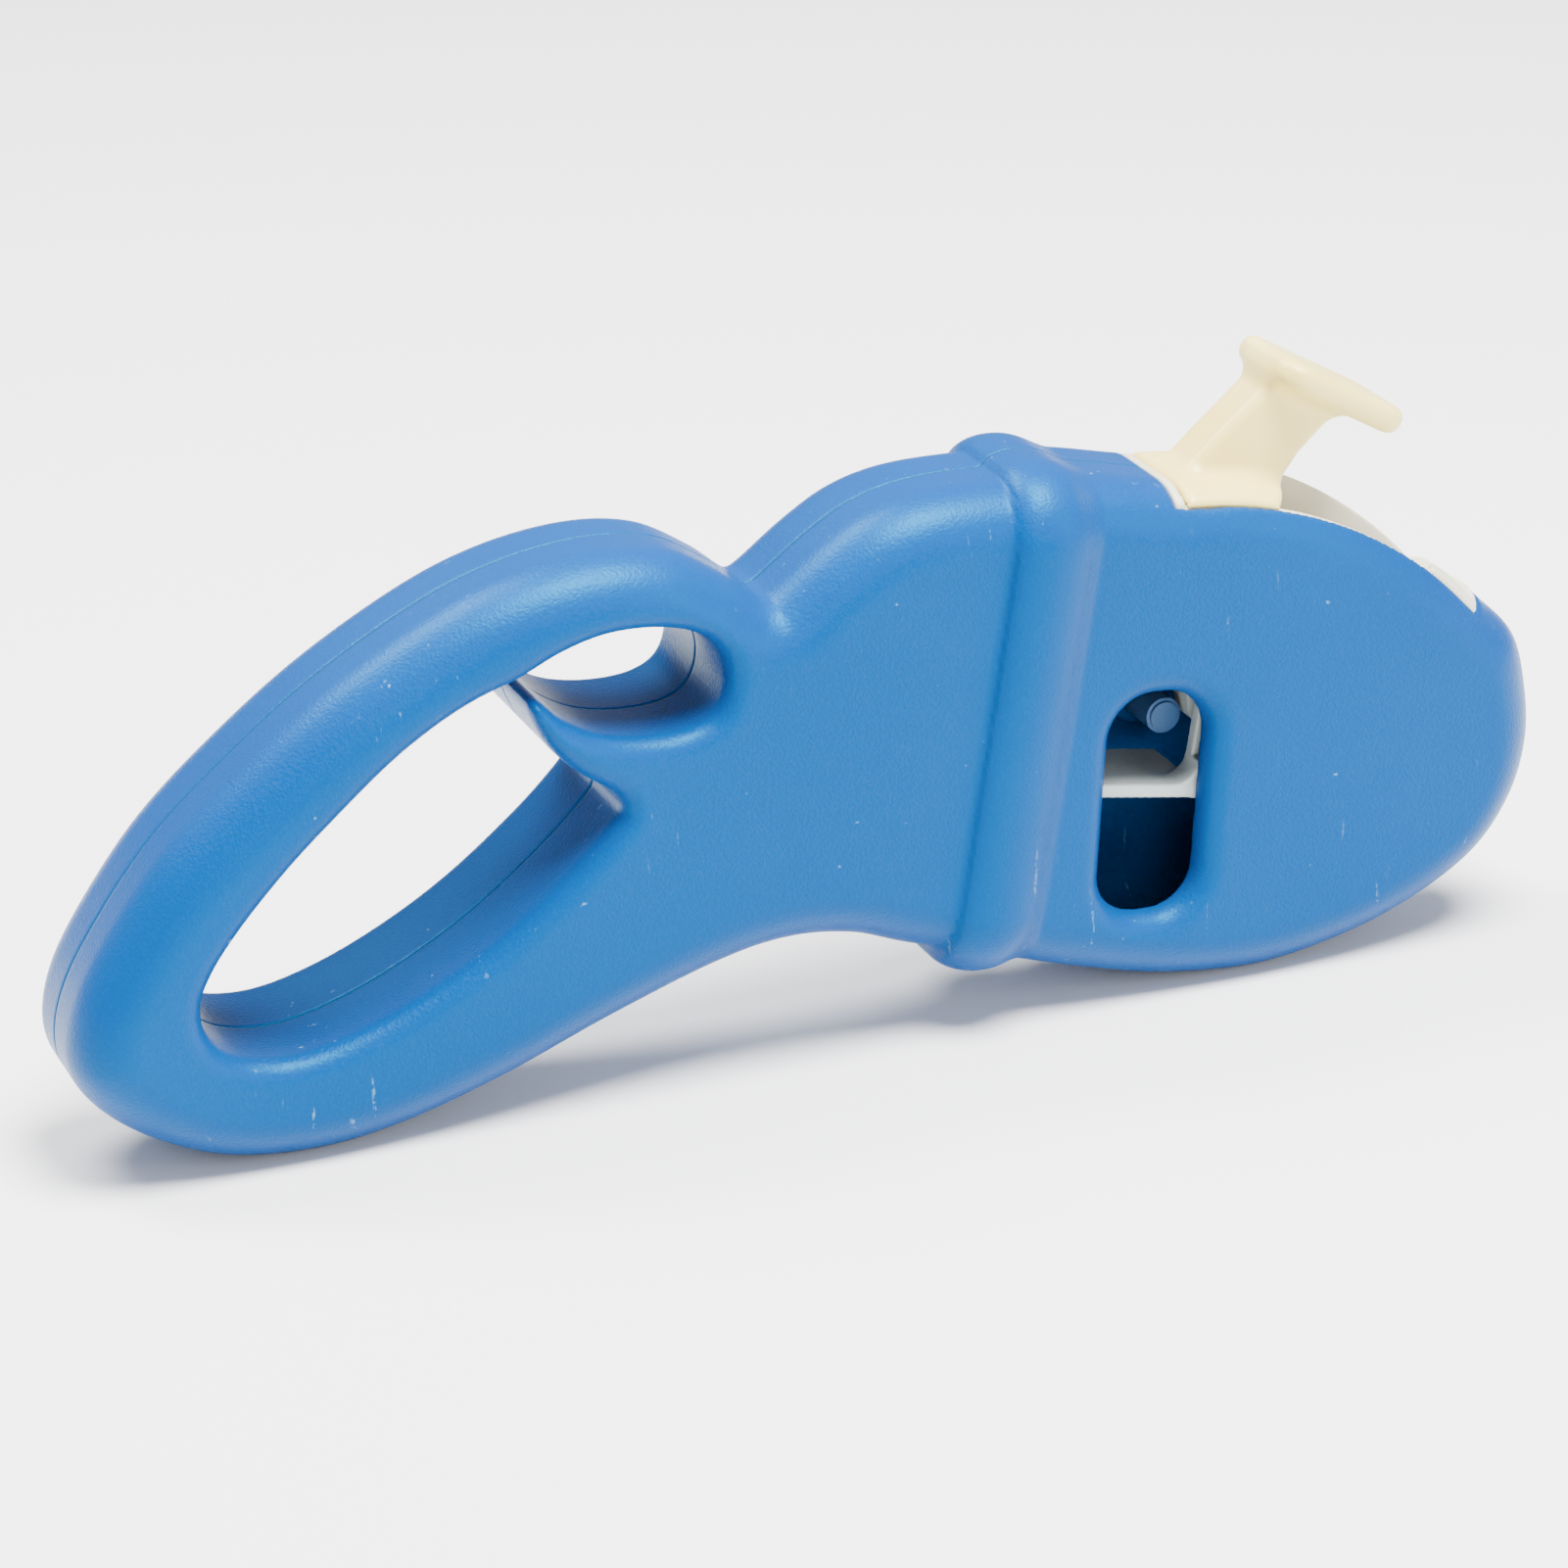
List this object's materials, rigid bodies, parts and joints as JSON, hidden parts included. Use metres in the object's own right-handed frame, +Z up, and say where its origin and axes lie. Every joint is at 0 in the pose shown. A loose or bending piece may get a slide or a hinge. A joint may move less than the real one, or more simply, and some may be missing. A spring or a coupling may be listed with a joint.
{
  "type": "gate latch handle",
  "caption": "Two-shell plastic latch handle with a finger loop, a guard collar, a side window and a thumb trigger on a curved track that draws back a sprung latch bar.",
  "frame": {"origin": "middle of the lowest edge that the handle stands on, at the seam between the shells", "axes": "+X along the handle towards the nose, +Y through the thickness away from the window, +Z up towards the thumb pad"},
  "size_m": [0.2061, 0.0312, 0.0857],
  "materials": {
    "blue_plastic": "fine moulded texture, satin",
    "cream_plastic": "smooth moulded, satin",
    "white_plastic": "smooth moulded, satin",
    "steel": "plated",
    "spring_steel": "drawn wire",
    "black_rubber": "moulded",
    "brass": "knurled insert"
  },
  "bodies": {
    "base": {"front_shell": "blue_plastic", "back_shell": "blue_plastic", "slot_liner": "white_plastic", "nose_bumper": "black_rubber", "latch_guide": "white_plastic", "guide_screws": "steel", "rest_post": "blue_plastic", "post_sleeve": "blue_plastic", "return_spring": "spring_steel", "head_screws": "steel", "handle_screws": "steel", "screw_inserts": "brass"},
    "trigger": {"thumb_lever": "cream_plastic", "carriage_keeper": "white_plastic", "keeper_screws": "steel", "drive_pin": "steel", "drive_clip": "steel"},
    "latch": {"latch_bar": "white_plastic"}
  },
  "joints": [
    {"name": "trigger_turn", "type": "hinge", "parent": "base", "child": "trigger", "pos_m": [0.046, 0, 0.008], "axis": [0, 1, 0], "range_deg": [0, 28], "stiffness_Nm_per_rad": 0.25, "springref_deg": -20.05},
    {"name": "latch_slide", "type": "slide", "parent": "base", "child": "latch", "axis": [0.9848, 0, -0.1736], "range_m": [0, 0.01575], "deforming": ["return_spring"]}
  ],
  "couplings": [
    {"joint": "latch_slide", "follows": "trigger_turn", "m_per_rad": 0.032224}
  ]
}
